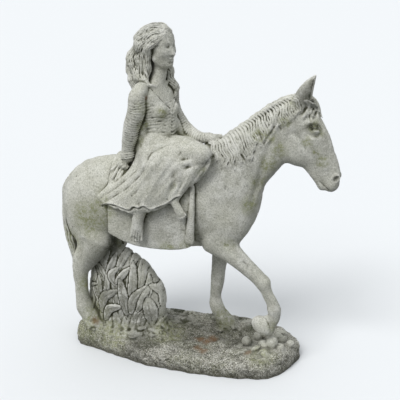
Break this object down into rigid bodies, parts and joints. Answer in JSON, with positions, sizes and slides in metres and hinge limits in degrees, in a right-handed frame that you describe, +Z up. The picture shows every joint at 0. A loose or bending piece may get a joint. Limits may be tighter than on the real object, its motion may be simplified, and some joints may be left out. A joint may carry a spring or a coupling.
{
  "type": "equestrian garden statue",
  "caption": "Weathered cast-stone statue of a barefoot rider in a long dress sitting sideways on a walking horse, with a leafy rock under the belly, on its own rocky plinth.",
  "frame": {"origin": "middle of the plinth's flat underside", "axes": "+Z up, +X the way the horse faces, -Y the side on which the rider's feet hang"},
  "size_m": [0.8033, 0.3094, 0.9634],
  "materials": {
    "cast_stone": "weathered, with lichen and grime in the hollows"
  },
  "bodies": {
    "root": {"statue": "cast_stone"}
  },
  "joints": []
}
